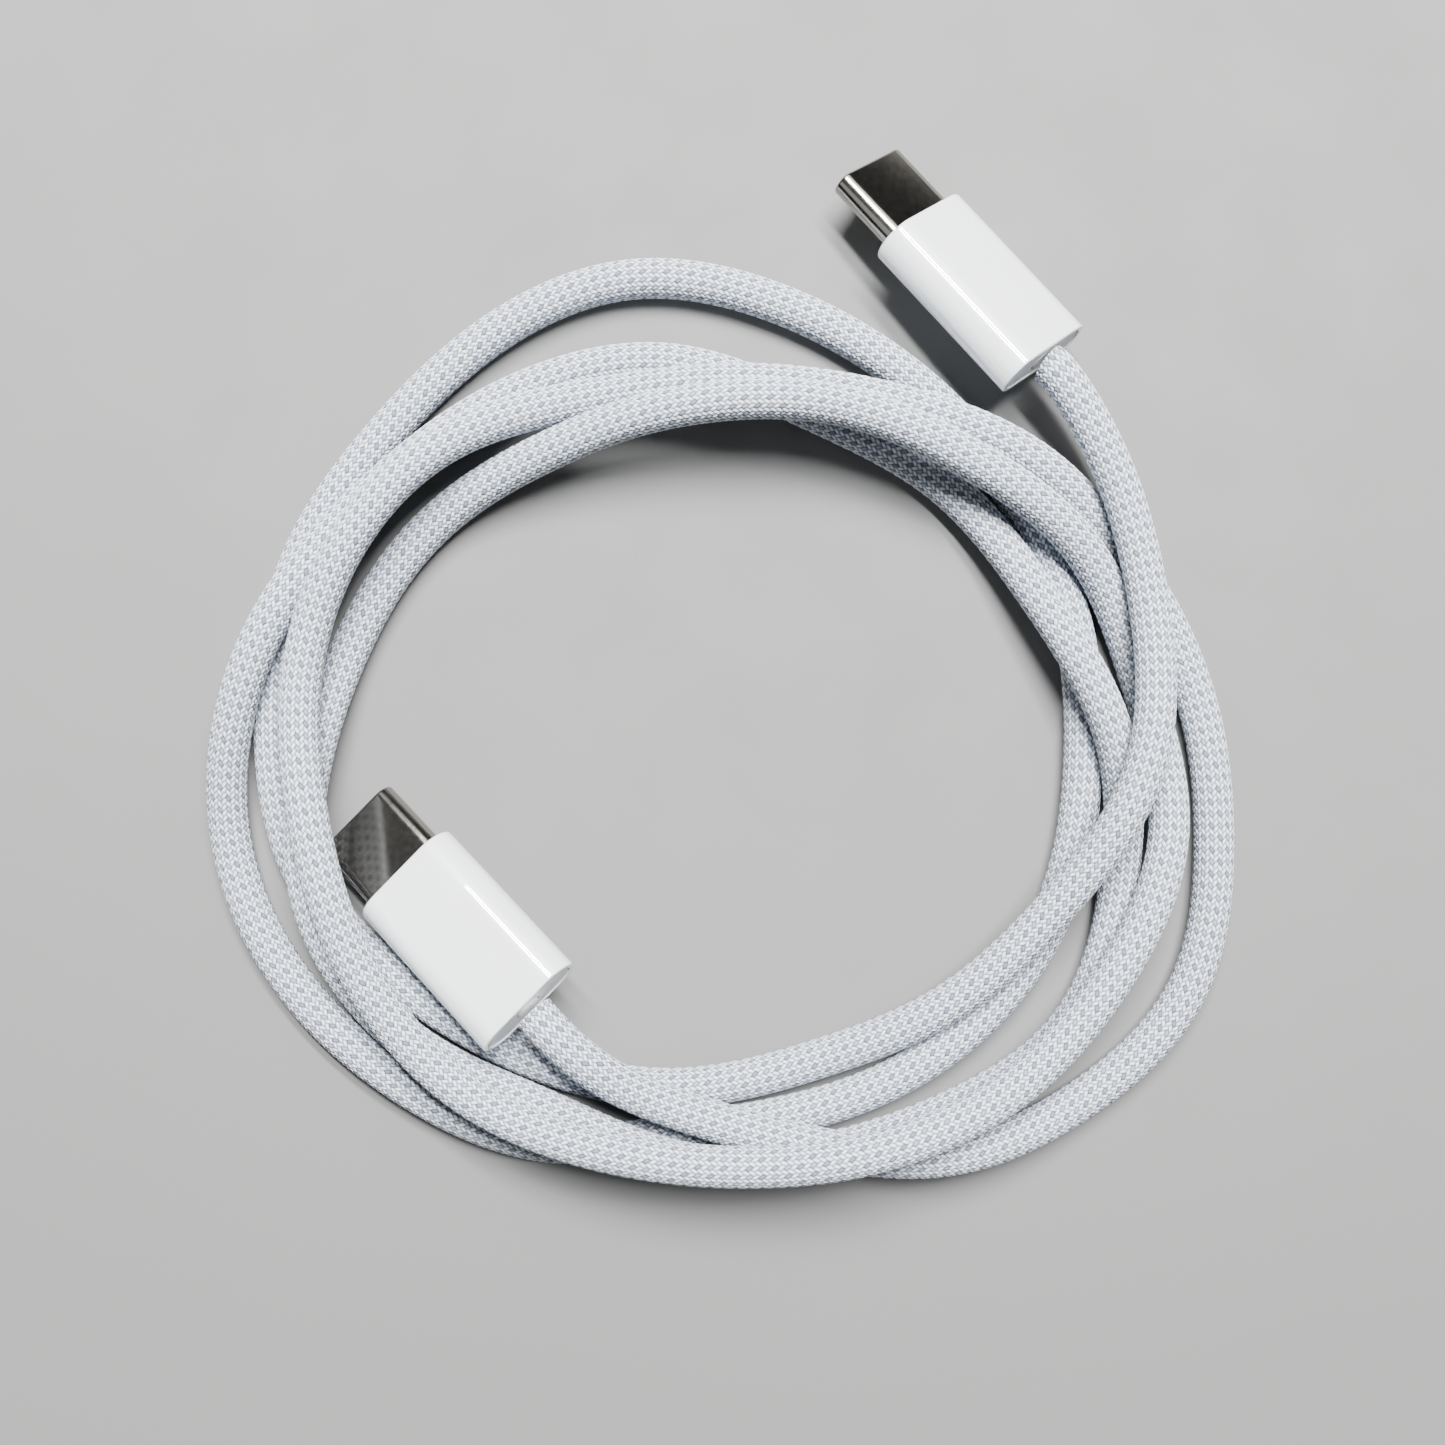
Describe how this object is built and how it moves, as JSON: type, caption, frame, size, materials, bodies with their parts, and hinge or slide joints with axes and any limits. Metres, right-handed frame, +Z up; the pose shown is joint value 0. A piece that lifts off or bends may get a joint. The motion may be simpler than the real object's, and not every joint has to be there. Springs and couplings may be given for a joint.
{
  "type": "charging cable",
  "caption": "Charging cable with a woven sleeve and a USB-C plug at each end, lying in a loose round coil.",
  "frame": {"origin": "centre of the coiled cable's box on the surface that it lies on", "axes": "+Z up, away from that surface; plug a points towards -X +Y"},
  "size_m": [0.0893, 0.0898, 0.0113],
  "materials": {
    "plug_steel": "polished",
    "white_gloss": "glossy moulded",
    "cap_grey": "fine matte",
    "black_insulator": "matte moulded",
    "gold_contacts": "gold plated",
    "spring_steel": "stamped",
    "green_board": "solder mask",
    "inner_moulding": "moulded",
    "copper_collar": "plain crimped copper",
    "red_insulation": "extruded",
    "blue_insulation": "extruded",
    "woven_sleeve": "braided white yarn with grey flecks"
  },
  "bodies": {
    "root": {"plug_a_shell": "plug_steel", "plug_a_overmould": "white_gloss", "plug_a_rear_cap": "cap_grey", "plug_a_contact_housing": "black_insulator", "plug_a_upper_contacts": "gold_contacts", "plug_a_lower_contacts": "gold_contacts", "plug_a_upper_ground_spring": "spring_steel", "plug_a_lower_ground_spring": "spring_steel", "plug_a_latch_spring": "spring_steel", "plug_a_upper_can": "spring_steel", "plug_a_lower_can": "spring_steel", "plug_a_paddle_card": "green_board", "plug_a_marker_chip": "black_insulator", "plug_a_strain_relief": "inner_moulding", "plug_a_crimp_collar": "copper_collar", "plug_a_cord_core": "inner_moulding", "plug_a_power_wire": "red_insulation", "plug_a_ground_wire": "black_insulator", "plug_a_config_wire": "blue_insulation", "plug_a_data_wire": "inner_moulding", "plug_b_shell": "plug_steel", "plug_b_overmould": "white_gloss", "plug_b_rear_cap": "cap_grey", "plug_b_contact_housing": "black_insulator", "plug_b_upper_contacts": "gold_contacts", "plug_b_lower_contacts": "gold_contacts", "plug_b_upper_ground_spring": "spring_steel", "plug_b_lower_ground_spring": "spring_steel", "plug_b_latch_spring": "spring_steel", "plug_b_upper_can": "spring_steel", "plug_b_lower_can": "spring_steel", "plug_b_paddle_card": "green_board", "plug_b_marker_chip": "black_insulator", "plug_b_strain_relief": "inner_moulding", "plug_b_crimp_collar": "copper_collar", "plug_b_cord_core": "inner_moulding", "plug_b_power_wire": "red_insulation", "plug_b_ground_wire": "black_insulator", "plug_b_config_wire": "blue_insulation", "plug_b_data_wire": "inner_moulding", "woven_cord": "woven_sleeve"}
  },
  "joints": []
}
